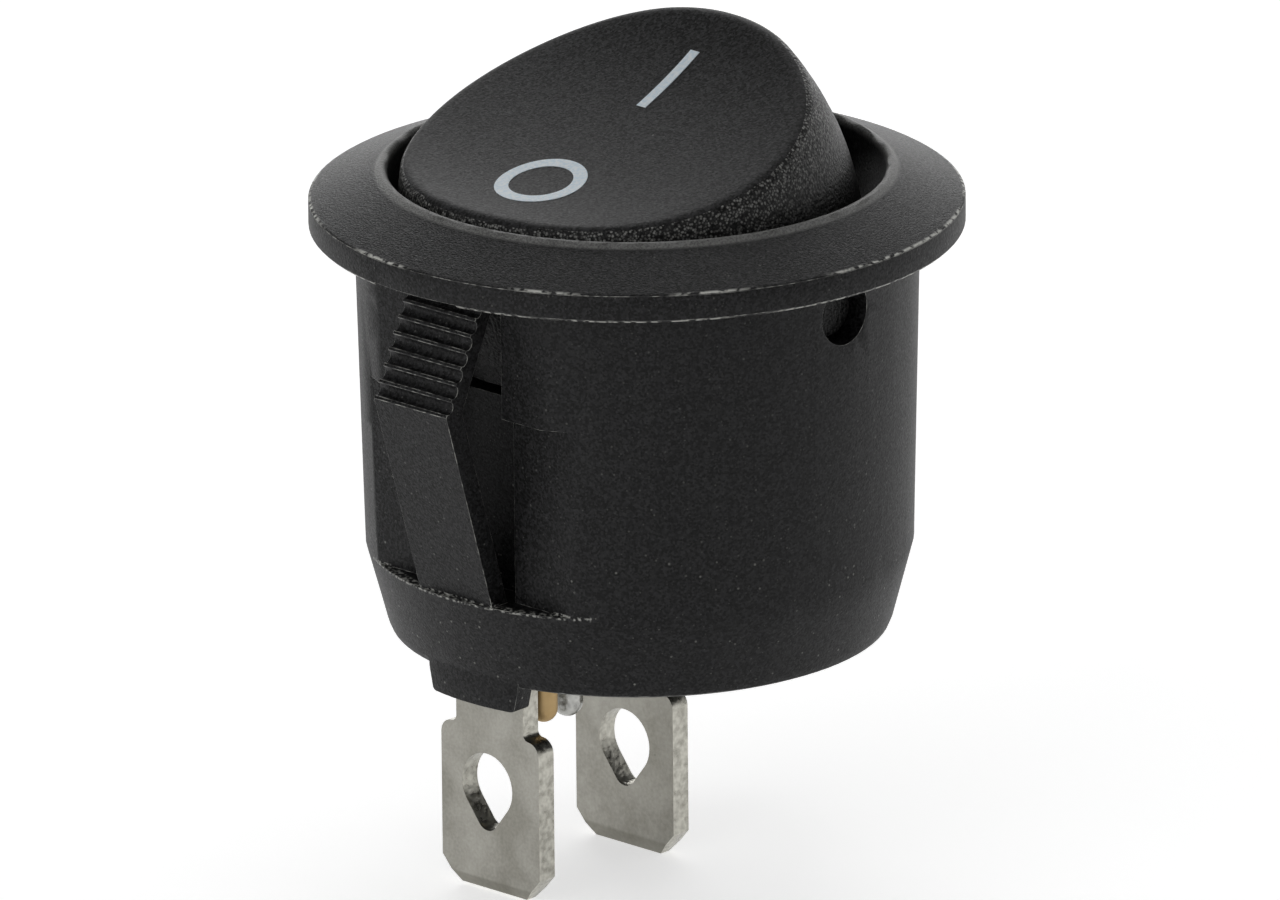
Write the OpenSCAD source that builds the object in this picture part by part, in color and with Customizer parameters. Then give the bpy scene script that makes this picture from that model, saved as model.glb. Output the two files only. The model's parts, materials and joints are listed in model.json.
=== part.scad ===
// Round panel rocker switch, single pole, on-off, with two blade terminals.
//
// The switch snaps into a round hole from the front: the flange rests on the panel and two
// sprung arms, moulded in one piece with the housing, hold it from behind. The rocker turns
// on two stub pins. A sprung plunger under it slides over a see-saw contact lever.
//
// Frame, in millimetres: the origin is the centre of the flange's underside, where the panel's
// face lies. +Z points out of the panel, to the finger. The O end of the rocker is at -X and
// the I end at +X. The rocker turns about Y. The switch is drawn off, with the O end pressed.

/* [Flange] */
// Diameter of the flange
flange_d = 23; // [22.4:0.1:24]
// Height of the flange's upright rim
rim_h = 1.02; // [0.8:0.02:1.3]
// Height of the lip round the rocker, above the panel
lip_h = 2.12; // [2:0.02:2.24]
// Width of the rounded lip, between the opening and the bevel
lip_w = 0.4; // [0.3:0.05:0.5]
// Diameter of the opening that the rocker swings in
opening_d = 17.46; // [17.2:0.02:17.6]

/* [Housing] */
// Diameter of the body just under the flange
body_d = 19.82; // [19.7:0.02:20]
// Draft of the body: how much the diameter shrinks for each millimetre down
body_draft = 0.048; // [0.03:0.002:0.06]
// Depth at which the taper of the base starts
shoulder_depth = 11.55; // [11.2:0.05:12]
// Depth of the whole body below the flange
body_depth = 14.7; // [14.4:0.1:15.4]
// Diameter of the flat bottom
base_d = 17.8; // [17.2:0.1:18.2]
// Size of the softened edge round the bottom
base_edge = 0.4; // [0.2:0.05:0.6]
// Thickness of the floor that carries the terminals
floor_t = 1.7; // [1.5:0.05:1.9]
// Depth of the wide upper bore, in which the rocker's skirt moves
upper_bore_depth = 4.4; // [4.3:0.05:4.5]
// Length of the contact chamber, along X
chamber_l = 13.4; // [13:0.1:13.6]
// Width of the contact chamber, along Y
chamber_w = 12.6; // [11.6:0.2:13]

/* [Snap arms] */
// Width of each arm
arm_w = 3.45; // [3:0.05:3.7]
// Thickness of each arm
arm_t = 0.75; // [0.6:0.05:0.85]
// How far the knee of an arm stands from the axis
arm_knee_x = 11.65; // [11.3:0.05:11.9]
// Depth of the knee below the flange
arm_knee_depth = 4; // [3.8:0.05:4.4]
// Distance of the arm's upper end from the axis
arm_tip_x = 9.9; // [9.8:0.05:10.1]
// Gap between the arm's upper end and the flange
arm_tip_gap = 0.3; // [0.25:0.05:0.5]
// Number of grip ribs on the upper slope
rib_count = 7; // [5:1:9]
// Depth of the grooves between the ribs
rib_depth = 0.2; // [0.1:0.01:0.22]
// Distance of the upper flat behind an arm from the axis
upper_flat_x = 9.06; // [9:0.01:9.2]
// Distance of the lower flat behind an arm from the axis
lower_flat_x = 8.47; // [8.4:0.01:8.6]
// Depth of the step between the two flats
flat_step_depth = 4.63; // [4.6:0.01:5]
// Distance of the back of the arm's pocket from the axis
pocket_x = 7.6; // [7.5:0.05:7.8]
// Clearance at each side of an arm in its pocket
pocket_side_gap = 0.2; // [0.15:0.05:0.35]
// Depth of the relief in the flange's underside, over each arm
arm_relief = 0.1; // [0.05:0.05:0.2]

/* [Rocker] */
// Depth of the pivot axis below the panel's face
pivot_depth = 1.25; // [1.1:0.05:1.4]
// Diameter of the pivot holes
pivot_hole_d = 2.3; // [2.1:0.05:2.5]
// Angle of the rocker from level at each end of its travel
rocker_tilt = 18; // [15:0.5:18.5]
// Height of the middle of the rocker's hollow top, above the pivot
rocker_h = 5; // [4.8:0.05:5.15]
// Radius of the hollow across the rocker's top, in its middle
dish_r = 32; // [24:0.5:40]
// How much more than that radius the hollow's ends curl up
end_curl = 0.62; // [0.3:0.02:0.8]
// Radial gap between the rocker and the opening
rocker_gap = 0.62; // [0.5:0.02:0.8]
// Gap between the rocker's ends and the lip that they pass
rocker_end_gap = 0.16; // [0.1:0.02:0.4]
// Thickness of the rocker's wall
rocker_wall = 1.1; // [0.9:0.05:1.3]
// Thickness of the rocker under the middle of its hollow top
rocker_top_t = 1.6; // [1.3:0.1:1.8]
// Running clearance of the pivot pins, on the radius
pin_clear = 0.05; // [0.03:0.01:0.09]
// How far each pin reaches into the housing's wall
pin_reach = 0.42; // [0.3:0.02:0.8]

/* [Plunger] */
// Diameter of the plunger
plunger_d = 3.1; // [2.9:0.1:3.3]
// Radius of the plunger's round tip
plunger_tip_r = 0.95; // [0.8:0.05:1.1]
// Running clearance of the plunger, on the radius
plunger_clear = 0.06; // [0.03:0.01:0.09]
// Diameter of the spring's wire
wire_d = 0.36; // [0.3:0.02:0.4]
// Outer diameter of the spring
spring_d = 2.2; // [2:0.05:2.3]
// Number of turns of the spring
spring_turns = 8; // [6:1:9]

/* [Contacts] */
// Angle of the contact lever from level at each end of its travel
lever_tilt = 8; // [6:0.5:9]
// Thickness of the contact lever
lever_t = 0.5; // [0.4:0.05:0.6]
// Width of the contact lever
lever_w = 4.2; // [3.8:0.1:4.2]
// Distance of the contacts from the lever's fulcrum
contact_x = 3.8; // [3.7:0.05:4]
// Diameter of the contact heads
contact_d = 2.2; // [2:0.1:2.4]
// Height of the fixed contact's head
fixed_contact_h = 0.75; // [0.6:0.05:0.8]
// Height of the moving contact's head
moving_contact_h = 0.45; // [0.35:0.05:0.6]

/* [Terminals] */
// Width of a terminal blade
blade_w = 4.66; // [4.6:0.02:4.8]
// Thickness of a terminal blade
blade_t = 0.78; // [0.7:0.02:0.82]
// Width of the neck between a blade and the housing
neck_w = 3.2; // [3:0.1:3.3]
// Depth of the load blade's tip below the flange
tip_depth = 22.8; // [22:0.05:24]
// Depth at which the round shoulders reach the blade's full width
blade_shoulder_depth = 17.35; // [17.2:0.05:17.8]
// Radius of the blade's round shoulders
shoulder_r = 0.5; // [0.3:0.05:0.55]
// Size of the chamfers at a blade's tip, across the blade
tip_chamfer = 0.78; // [0.5:0.02:1]
// Distance from the tip to the centre of the wire hole
hole_from_tip = 3.65; // [3.4:0.05:3.8]
// Width of the wire hole, which is pear shaped and widest near its top
wire_hole_w = 2.4; // [2:0.05:2.5]
// Height of the wire hole
wire_hole_h = 2.85; // [2.6:0.05:3.1]
// Radius of the hole's narrow lower end
wire_hole_end_r = 0.5; // [0.4:0.05:0.8]
// Distance of the load blade's hole from the blade's middle line
load_hole_y = 0.15; // [-0.2:0.05:0.2]
// How much further down the common blade reaches than the load blade
common_drop = 0.1; // [0:0.05:0.3]
// Distance of the load terminal's outer face from the axis
load_face_x = 7.8; // [7.7:0.02:7.9]
// Distance of the common terminal's outer face from the axis
common_face_x = 0.9; // [0.85:0.05:1.2]
// Inner radius of the bends in the terminals
bend_r = 0.3; // [0.2:0.05:0.35]
// Diameter of the brass rivet that holds the load terminal
rivet_d = 1; // [0.8:0.05:1.2]
// How far the brass rivet's tail stands below the floor
rivet_tail = 1.95; // [1.6:0.05:2.6]
// Diameter of the fixed contact's tail
tail_d = 1.1; // [0.8:0.05:1.1]
// How far the fixed contact's tail stands below the floor
contact_tail = 2.6; // [2:0.1:3]

/* [Hidden] */

$fn = 96;
eps = 0.01;             // overlap that keeps joined solids and cuts clean
seat = 0.02;            // clearance between pieces that seat on each other
black = "#262626";
plated = "#b9b7b0";
silver_metal = "#d5d6d8";
brass_metal = "#c19a5b";
copper_metal = "#b8764a";

flange_r = flange_d / 2;
opening_r = opening_d / 2;
base_r = base_d / 2;
floor_z = floor_t - body_depth;
chamber_r = opening_r - 0.4;
function body_r(depth) = (body_d - body_draft * depth) / 2;

pocket_half = arm_w / 2 + pocket_side_gap;
ledge_depth = shoulder_depth - 0.05;
arm_root_x = body_r(ledge_depth) - 0.2;
lug_half = 2.12;        // half of the lug's width, where it leaves the base
lug_draft = 0.15;       // how much each side of the lug leans in over its height
lug_edge = 0.2;         // rounding of the lug's lower corners
lug_r = base_r - 0.04;
lug_drop = 0.85;

rocker_r = opening_r - rocker_gap;
rocker_end_r = norm([opening_r, lip_h + pivot_depth]) - rocker_end_gap;
bulge_h = 1;            // height over the pivot where the rocker is widest
side_r = 11.3;          // radius of the rocker's bulging side
skirt_h = -0.4;         // lower edge of the skirt, from the pivot
cheek_r = 2.3;          // radius of the cheeks that carry the pins
rocker_top = top_at(rocker_r) + 0.5;
hollow_h = rocker_h - rocker_top_t;
post_h = 5.0;           // length of the spring post below the pivot
post_r = plunger_d / 2 + 1.05;
pin_r = pivot_hole_d / 2 - pin_clear;
pin_end = opening_r + pin_reach;

plate_z = floor_z + blade_t;
fixed_contact_z = plate_z + fixed_contact_h;
contact_gap = 0.03;     // what is left between the closed contacts
fulcrum_z = fixed_contact_z + contact_gap + contact_x * sin(lever_tilt)
          + moving_contact_h * cos(lever_tilt);
lever_half = contact_x + contact_d / 2 + 0.1;
tab_w = 0.9;
tab_end = lever_w / 2 + 1.2;
ear_y = lever_w / 2 + 0.2;
stop_x = 4.3;
stop_w = 0.7;
stop_top = fulcrum_z - (stop_x + stop_w / 2) * tan(lever_tilt) - contact_gap;

mid_clear = 0.1;        // plunger to lever when the rocker stands level
plunger_l = -pivot_depth - fulcrum_z - lever_t - mid_clear;
plunger_r = plunger_d / 2;
bore_r = plunger_r + plunger_clear;
bore_top = hollow_h - 0.7;
plunger_top = -0.9;
seat_r = spring_d / 2 + 0.1;
seat_floor = -3.6;

slot_half = blade_w / 2 + 0.1;
slot_gap = 0.05;
rivet_x = 6.2;
rivet_y = -1.1;
rivet_head_r = 0.85;
rivet_head_h = 0.35;

// ---------- shared shapes ----------

// Children drawn upright about the pivot take the rocker's place at rest.
module rocker_pose() {
    translate([0, 0, -pivot_depth]) rotate([0, -rocker_tilt, 0]) children();
}

// Children drawn level about the fulcrum take the lever's place at rest.
module lever_pose() {
    translate([0, 0, fulcrum_z]) rotate([0, lever_tilt, 0]) children();
}

// Children at the +X side and their mirror image at -X.
module both_ends() {
    for (side = [0, 1]) mirror([side, 0, 0]) children();
}

// A block given by its low and high corners.
module block(low, high) {
    translate(low) cube(high - low);
}

// A cylinder along Y, from y0 to y1.
module y_rod(r, y0, y1) {
    translate([0, y1, 0]) rotate([90, 0, 0]) cylinder(r = r, h = y1 - y0);
}

// A profile in X and Z, extruded along Y between -half and half.
module xz_extrude(half) {
    translate([0, half, 0]) rotate([90, 0, 0]) linear_extrude(2 * half) children();
}

// ---------- housing ----------

module housing_outline() {
    polygon([
        [0, -body_depth],
        [base_r - base_edge, -body_depth],
        [base_r - base_edge * 0.3, -body_depth + base_edge * 0.3],
        [base_r, -body_depth + base_edge],
        [body_r(shoulder_depth), -shoulder_depth],
        [body_r(0), 0],
        [flange_r - 0.08, 0],
        [flange_r, 0.08],
        [flange_r, rim_h - 0.04],
        [flange_r - 0.1, rim_h + 0.02],
        [opening_r + lip_w, lip_h - 0.16],
        [opening_r + lip_w * 0.7, lip_h - 0.03],
        [opening_r + lip_w * 0.45, lip_h],
        [opening_r + lip_w * 0.2, lip_h - 0.04],
        [opening_r, lip_h - 0.15],
        [opening_r, -upper_bore_depth],
        [0, -upper_bore_depth]
    ]);
}

// The arm's side view at +X: a leaf that leans out to a knee and back, ribbed above the knee.
module arm_profile() {
    rise = arm_knee_depth - arm_tip_gap;
    run = arm_knee_x - arm_tip_x;
    slope = [-run, rise] / rib_count;
    out = [rise, run] / norm([rise, run]) * rib_depth;
    knee = [arm_knee_x, -arm_knee_depth];
    // each rib has a narrow crest, and a round groove over it
    ribs = [for (i = [0:rib_count - 1]) for (p = concat(
        [knee + slope * i],
        [for (turn = [0:36:180]) knee + slope * (i + 0.6 - 0.4 * cos(turn)) - out * sin(turn)]
    )) p];
    root_z = -shoulder_depth - 0.6;
    polygon(concat(
        [[arm_root_x - arm_t - 0.1, root_z], [arm_root_x - 0.3, root_z], [arm_root_x, -ledge_depth]],
        ribs,
        [
            [arm_tip_x, -arm_tip_gap],
            [arm_tip_x - arm_t, -arm_tip_gap],
            [arm_knee_x - arm_t * 1.08, -arm_knee_depth],
            [arm_root_x - arm_t * 1.03, -ledge_depth]
        ]
    ));
}

// What is cut away behind each arm: two flats with a step, and a pocket for the arm to flex into.
module arm_clearing() {
    block([upper_flat_x, -6, -flat_step_depth - eps], [flange_r, 6, 0]);
    block([lower_flat_x, -6, -ledge_depth], [flange_r, 6, -flat_step_depth]);
    block([pocket_x, -pocket_half, -ledge_depth], [flange_r, pocket_half, 0]);
    // the mould's slide also relieves the flange's underside, so that nothing stands over the arm
    block([upper_flat_x, -pocket_half, -eps], [flange_r + 1, pocket_half, arm_relief]);
}

// Slot for a terminal at a given outer face, with its inner edge eased for the bend.
module terminal_slot(face_x) {
    inner_x = face_x - blade_t;
    block([-face_x - slot_gap, -slot_half, -body_depth - 1],
          [-inner_x + slot_gap, slot_half, floor_z + eps]);
    translate([-inner_x, 0, floor_z])
        xz_extrude(slot_half)
            polygon([[0, -bend_r * 1.3], [bend_r * 1.3 + 0.1, 0.1], [-0.1, 0.1], [-0.1, -bend_r * 1.3]]);
}

module chamber() {
    translate([0, 0, floor_z])
        linear_extrude(-floor_z)
            intersection() {
                circle(chamber_r);
                square([chamber_l, chamber_w], center = true);
            }
    // room for the load terminal's bend and for the rivet's head on its foot
    block([-load_face_x - 0.15, -slot_half, floor_z],
          [-chamber_l / 2 + 1, slot_half, plate_z + rivet_head_h + 0.1]);
}

// The lug seen along X: drafted sides and round lower corners.
module lug_outline() {
    foot_half = lug_half - lug_draft - lug_edge;
    foot_z = -body_depth - lug_drop;
    corner = [for (turn = [0:22.5:90])
        [foot_half + lug_edge * sin(turn), foot_z + lug_edge * (1 - cos(turn))]];
    top = [[lug_half, -body_depth], [lug_half, -body_depth + base_edge]];
    right = concat(corner, top);
    polygon(concat(right, [for (i = [len(right) - 1:-1:0]) [-right[i].x, right[i].y]]));
}

module housing() {
    color(black) {
        difference() {
            rotate_extrude() housing_outline();
            chamber();
            both_ends() arm_clearing();
            translate([0, 0, -pivot_depth]) y_rod(pivot_hole_d / 2, -flange_r, flange_r);
            terminal_slot(load_face_x);
            terminal_slot(common_face_x);
            translate([-rivet_x, rivet_y, -body_depth - 1]) cylinder(r = rivet_d / 2 + seat, h = floor_t + 2);
            translate([-contact_x, 0, -body_depth - 1]) cylinder(r = tail_d / 2 + seat, h = floor_t + 2);
        }
        both_ends() xz_extrude(arm_w / 2) arm_profile();
        // rib on the floor that stops the lever's idle end
        block([stop_x - stop_w / 2, -lever_w / 2, floor_z - eps], [stop_x + stop_w / 2, lever_w / 2, stop_top]);
        // lug under the floor, in front of the load terminal
        intersection() {
            translate([0, 0, -body_depth - lug_drop])
                cylinder(r1 = lug_r - 0.04, r2 = lug_r, h = lug_drop + base_edge);
            translate([-base_r, 0, 0]) rotate([90, 0, 90])
                linear_extrude(base_r - load_face_x - slot_gap) lug_outline();
        }
    }
}

// ---------- rocker ----------

// Radius of the rocker's side at a height over the pivot. Near the top it keeps to a ball
// round the pivot, so that the ends pass the lip.
function side_at(h) = min(rocker_r - pow(h - bulge_h, 2) / (2 * side_r),
                          sqrt(rocker_end_r * rocker_end_r - h * h));

// Height of the hollow top over the pivot, at a distance from the middle along X.
function top_at(x) = rocker_h + x * x / (2 * dish_r) + end_curl * pow(x / rocker_r, 4);

// All that lies over the hollow top, seen along Y.
module above_top() {
    steps = 30;
    half = rocker_r + 0.2;
    xz_extrude(flange_r)
        polygon(concat(
            [[half, rocker_top + 3], [-half, rocker_top + 3]],
            [for (i = [0:steps]) let (x = half * (2 * i / steps - 1)) [x, top_at(x)]]
        ));
}

module rocker_block() {
    steps = 24;
    bottom = -cheek_r - 0.1;
    rotate_extrude()
        polygon(concat(
            [[0, bottom]],
            [for (i = [0:steps]) let (h = bottom + (rocker_top - bottom) * i / steps) [side_at(h), h]],
            [[0, rocker_top]]
        ));
}

module rocker() {
    color(black) rocker_pose() {
        difference() {
            rocker_block();
            above_top();
            translate([0, 0, -cheek_r - 1]) cylinder(r = rocker_r - rocker_wall, h = hollow_h + cheek_r + 1);
            // below the skirt's edge only the cheeks round the pins stay
            difference() {
                block([-flange_r, -flange_r, -cheek_r - 1], [flange_r, flange_r, skirt_h]);
                y_rod(cheek_r, -flange_r - 1, flange_r + 1);
            }
        }
        // pivot pins with eased ends
        for (side = [0, 1]) mirror([0, side, 0]) {
            y_rod(pin_r, rocker_r - rocker_wall - 0.3, pin_end - 0.15);
            translate([0, pin_end - 0.15, 0]) rotate([-90, 0, 0])
                cylinder(r1 = pin_r, r2 = pin_r - 0.15, h = 0.15);
        }
        // spring post, and the webs that brace it
        difference() {
            union() {
                translate([0, 0, -post_h]) cylinder(r = post_r, h = post_h + hollow_h + eps);
                block([-rocker_r + rocker_wall - 0.1, -0.45, 0.8], [rocker_r - rocker_wall + 0.1, 0.45, hollow_h + eps]);
                block([-0.45, -rocker_r + rocker_wall - 0.1, 0.8], [0.45, rocker_r - rocker_wall + 0.1, hollow_h + eps]);
            }
            translate([0, 0, -post_h - 1]) cylinder(r = bore_r, h = post_h + bore_top + 1);
        }
    }
}

// ---------- plunger and spring ----------

module plunger() {
    tip_z = -plunger_l + plunger_tip_r;
    taper_z = tip_z + 1.3;
    color("#e6e2d6") rocker_pose() {
        difference() {
            rotate_extrude()
                polygon([
                    [0, tip_z], [plunger_tip_r, tip_z], [plunger_r, taper_z],
                    [plunger_r, plunger_top], [0, plunger_top]
                ]);
            translate([0, 0, seat_floor]) cylinder(r = seat_r, h = plunger_top - seat_floor + 1);
        }
        translate([0, 0, tip_z]) sphere(plunger_tip_r);
    }
}

// A closed tube swept along a helix: rings of points, joined by quads and capped.
module coil(mean_r, wire_r, turns, z0, z1) {
    per_turn = 20;
    sides = 8;
    rings = turns * per_turn;
    pitch = (z1 - z0) / turns;
    lean = atan(pitch / (2 * PI * mean_r));
    function ring_point(i, j) =
        let (a = 360 * i / per_turn, b = 360 * j / sides, r = mean_r + wire_r * cos(b))
        [
            r * cos(a) + wire_r * sin(b) * sin(lean) * sin(a),
            r * sin(a) - wire_r * sin(b) * sin(lean) * cos(a),
            z0 + pitch * i / per_turn + wire_r * sin(b) * cos(lean)
        ];
    points = [for (i = [0:rings]) for (j = [0:sides - 1]) ring_point(i, j)];
    walls = [for (i = [0:rings - 1]) for (j = [0:sides - 1])
        let (k = (j + 1) % sides)
        [i * sides + j, (i + 1) * sides + j, (i + 1) * sides + k, i * sides + k]];
    cap0 = [for (j = [0:sides - 1]) j];
    cap1 = [for (j = [sides - 1:-1:0]) rings * sides + j];
    polyhedron(points, concat(walls, [cap0, cap1]), convexity = 10);
}

module plunger_spring() {
    wire_r = wire_d / 2;
    color(silver_metal) rocker_pose()
        coil(spring_d / 2 - wire_r, wire_r, spring_turns, seat_floor + wire_r + seat, bore_top - wire_r - seat);
}

// ---------- contact lever ----------

module contact_lever() {
    color(copper_metal) lever_pose() difference() {
        union() {
            block([-lever_half, -lever_w / 2, 0], [lever_half, lever_w / 2, lever_t]);
            block([-tab_w / 2, -tab_end, 0], [tab_w / 2, tab_end, lever_t]);
        }
        translate([-contact_x, 0, -1]) cylinder(r = 0.5 + seat, h = lever_t + 2);
    }
}

// A rivet head: a disc with a domed face, its flat back at z = 0 and its crown at height h.
module domed_head(r, h) {
    crown_r = r * 2;
    intersection() {
        cylinder(r = r, h = h);
        translate([0, 0, h - crown_r]) sphere(crown_r);
    }
}

module lever_contact() {
    color(silver_metal) lever_pose() translate([-contact_x, 0, 0]) {
        mirror([0, 0, 1]) domed_head(contact_d / 2, moving_contact_h);
        translate([0, 0, -eps]) cylinder(r = 0.5, h = lever_t + 2 * eps);
        translate([0, 0, lever_t]) domed_head(0.8, 0.25);
    }
}

// ---------- terminals ----------

// A blade's outline in Y and Z, from its tip up to its bend.
module blade_outline(drop, hole_y) {
    half = blade_w / 2;
    neck = neck_w / 2;
    notch_r = half - neck - shoulder_r;
    tip_z = -tip_depth - drop;
    shoulder_z = -blade_shoulder_depth;
    notch_z = shoulder_z + shoulder_r + notch_r;
    // one side, from the tip up: the round shoulder runs into the round corner of the notch
    side = concat(
        [[half - tip_chamfer, tip_z], [half, tip_z + tip_chamfer * 1.15]],
        [for (turn = [0:15:75])
            [half - shoulder_r * (1 - cos(turn)), shoulder_z + shoulder_r * sin(turn)]],
        [for (turn = [90:-15:0])
            [neck + notch_r * (1 - cos(turn)), notch_z - notch_r * sin(turn)]],
        [[neck, floor_z - bend_r]]
    );
    difference() {
        polygon(concat(side, [for (i = [len(side) - 1:-1:0]) [-side[i].x, side[i].y]]));
        translate([hole_y, tip_z + hole_from_tip]) wire_hole();
    }
}

// Pear shaped hole, centred on its height.
module wire_hole() {
    hull() {
        translate([0, (wire_hole_h - wire_hole_w) / 2]) circle(wire_hole_w / 2, $fn = 40);
        translate([0, wire_hole_end_r - wire_hole_h / 2]) circle(wire_hole_end_r, $fn = 40);
    }
}

// Blade with its outer face at x = 0 and its thickness along +X, thinned at the tip.
module blade(drop = 0, hole_y = 0) {
    tip_z = -tip_depth - drop;
    intersection() {
        rotate([90, 0, 90]) linear_extrude(blade_t) blade_outline(drop, hole_y);
        xz_extrude(blade_w)
            polygon([
                [blade_t * 0.22, tip_z], [blade_t * 0.78, tip_z],
                [blade_t, tip_z + 0.42], [blade_t, 0], [0, 0], [0, tip_z + 0.42]
            ]);
    }
}

// The bend from the upright neck to the foot, and the foot along +X on the floor.
module foot(half, length) {
    outer_r = bend_r + blade_t;
    translate([outer_r, 0, floor_z - bend_r]) xz_extrude(half) bent_strip(outer_r);
    block([outer_r - eps, -half, floor_z], [length, half, plate_z]);
}

// The bent strip seen from its side: a quarter of a flat ring.
module bent_strip(outer_r) {
    intersection() {
        difference() {
            circle(outer_r);
            circle(bend_r);
        }
        translate([-outer_r, 0]) square(outer_r);
    }
}

module load_terminal() {
    neck = neck_w / 2;
    color(plated) difference() {
        translate([-load_face_x, 0, 0]) {
            blade(hole_y = load_hole_y);
            foot(neck, load_face_x - contact_x + contact_d / 2 + 0.1);
        }
        translate([-contact_x, 0, floor_z - 1]) cylinder(r = tail_d / 2 + seat, h = 3);
        translate([-rivet_x, rivet_y, floor_z - 1]) cylinder(r = rivet_d / 2 + seat, h = 3);
    }
}

// One upright ear of the cradle: a plate with a notch, and a small knee that the lever rocks on.
module ear_outline() {
    half = 1.3;
    notch_half = tab_w / 2 + 0.12;
    knee_r = 0.15;
    difference() {
        polygon([
            [-half, floor_z + 1.2], [-0.6, floor_z], [half, floor_z],
            [half, fulcrum_z + 0.7], [half - 0.3, fulcrum_z + 1],
            [-half + 0.3, fulcrum_z + 1], [-half, fulcrum_z + 0.7]
        ]);
        translate([-notch_half, fulcrum_z - 0.14]) square([2 * notch_half, 3]);
    }
    translate([0, fulcrum_z - 0.01 - knee_r]) circle(knee_r);
}

module common_terminal() {
    color(plated) {
        translate([-common_face_x, 0, 0]) {
            blade(drop = common_drop);
            foot(neck_w / 2, common_face_x + 1.3);
        }
        block([-0.6, -ear_y - blade_t, floor_z], [1.3, ear_y + blade_t, plate_z]);
        for (side = [0, 1]) mirror([0, side, 0])
            translate([0, ear_y + blade_t, 0]) rotate([90, 0, 0]) linear_extrude(blade_t) ear_outline();
    }
}

module load_contact() {
    color(silver_metal) translate([-contact_x, 0, 0]) {
        translate([0, 0, plate_z]) domed_head(contact_d / 2, fixed_contact_h);
        tail_z = -body_depth - contact_tail + tail_d / 2;
        translate([0, 0, tail_z]) cylinder(r = tail_d / 2, h = plate_z - tail_z + eps);
        translate([0, 0, tail_z]) sphere(tail_d / 2);
    }
}

module load_rivet() {
    color(brass_metal) translate([-rivet_x, rivet_y, 0]) {
        translate([0, 0, plate_z]) domed_head(rivet_head_r, rivet_head_h);
        tail_z = -body_depth - rivet_tail + rivet_d / 2;
        translate([0, 0, tail_z]) cylinder(r = rivet_d / 2, h = plate_z - tail_z + eps);
        translate([0, 0, tail_z]) sphere(rivet_d / 2);
    }
}

housing();
rocker();
plunger();
plunger_spring();
contact_lever();
lever_contact();
common_terminal();
load_terminal();
load_contact();
load_rivet();
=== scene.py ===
# %% [markdown]
# # A round panel rocker switch
#
# The switch is a black nylon moulding with a round flange. A dished rocker tilts in it, and two
# plated blades stand out below. This notebook loads the exact CAD model, gives every piece the
# surface of its real material, and adds what the CAD model leaves out: soft edges and the
# printed marks. All lengths are in metres, in the CAD model's own frame.

# %% Load the frame
import json
import math

import bpy
from mathutils import Matrix, Quaternion, Vector

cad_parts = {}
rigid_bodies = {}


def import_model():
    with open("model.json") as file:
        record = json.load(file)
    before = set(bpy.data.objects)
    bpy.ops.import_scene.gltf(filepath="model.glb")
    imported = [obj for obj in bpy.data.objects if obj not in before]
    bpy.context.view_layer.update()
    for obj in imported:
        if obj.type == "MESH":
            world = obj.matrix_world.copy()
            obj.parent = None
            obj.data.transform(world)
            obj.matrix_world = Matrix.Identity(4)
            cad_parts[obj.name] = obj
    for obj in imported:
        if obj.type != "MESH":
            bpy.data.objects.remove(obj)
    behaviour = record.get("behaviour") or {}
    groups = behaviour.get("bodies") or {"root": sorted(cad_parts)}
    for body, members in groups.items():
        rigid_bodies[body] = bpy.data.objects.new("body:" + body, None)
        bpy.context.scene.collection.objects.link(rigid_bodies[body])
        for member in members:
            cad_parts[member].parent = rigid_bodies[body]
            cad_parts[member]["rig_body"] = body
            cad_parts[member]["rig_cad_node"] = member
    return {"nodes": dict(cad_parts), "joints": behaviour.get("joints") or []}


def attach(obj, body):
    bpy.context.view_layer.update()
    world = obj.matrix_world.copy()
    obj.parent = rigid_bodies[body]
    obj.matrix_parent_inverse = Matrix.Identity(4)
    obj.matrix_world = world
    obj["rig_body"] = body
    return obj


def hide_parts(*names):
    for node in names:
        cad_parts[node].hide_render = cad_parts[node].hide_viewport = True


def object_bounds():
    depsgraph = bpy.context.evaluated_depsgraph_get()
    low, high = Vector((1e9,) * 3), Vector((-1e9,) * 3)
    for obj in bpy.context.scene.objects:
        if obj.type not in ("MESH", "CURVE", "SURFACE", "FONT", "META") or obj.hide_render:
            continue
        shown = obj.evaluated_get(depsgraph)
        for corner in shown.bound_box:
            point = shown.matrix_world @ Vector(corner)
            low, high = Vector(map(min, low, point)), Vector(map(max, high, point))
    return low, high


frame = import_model()
cad_low, cad_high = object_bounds()
mm = 0.001
print("CAD box:", [round(v / mm, 2) for v in cad_low], [round(v / mm, 2) for v in cad_high])

# %% [markdown]
# ## The rocker's own axes
#
# At rest the rocker leans over with its O end pressed in. It is easier to model on it as if it
# stood level, with the pivot at the origin, so one matrix turns things from that level place to
# the leaning one. The pivot and the angle come from the joint in the frame.

# %% Find the pivot and the lean
tilt_joint = next(j for j in frame["joints"] if j["name"] == "rocker_tilt")
pivot = Vector(tilt_joint["pos_m"])
lean = math.radians(sum(tilt_joint["range_deg"]) / 2)
lean_turn = Matrix.Translation(pivot) @ Matrix.Rotation(-lean, 4, "Y")
print("pivot at", [round(v / mm, 3) for v in pivot], "mm")
print("lean", round(math.degrees(lean), 1), "degrees")

# %% [markdown]
# ## Helpers for modelling
#
# An operator acts on whatever is selected. So each step first selects exactly one object, and
# faces are then picked in code by their place.

# %% Select one object, and finish a piece
def only(piece):
    """Selects one object alone and makes it the active one."""
    bpy.ops.object.select_all(action="DESELECT")
    piece.hide_set(False)
    piece.select_set(True)
    bpy.context.view_layer.objects.active = piece
    return piece


def apply_place(piece):
    """Moves an object's place, turn and size into its mesh."""
    only(piece)
    bpy.ops.object.transform_apply(location=True, rotation=True, scale=True)


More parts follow.
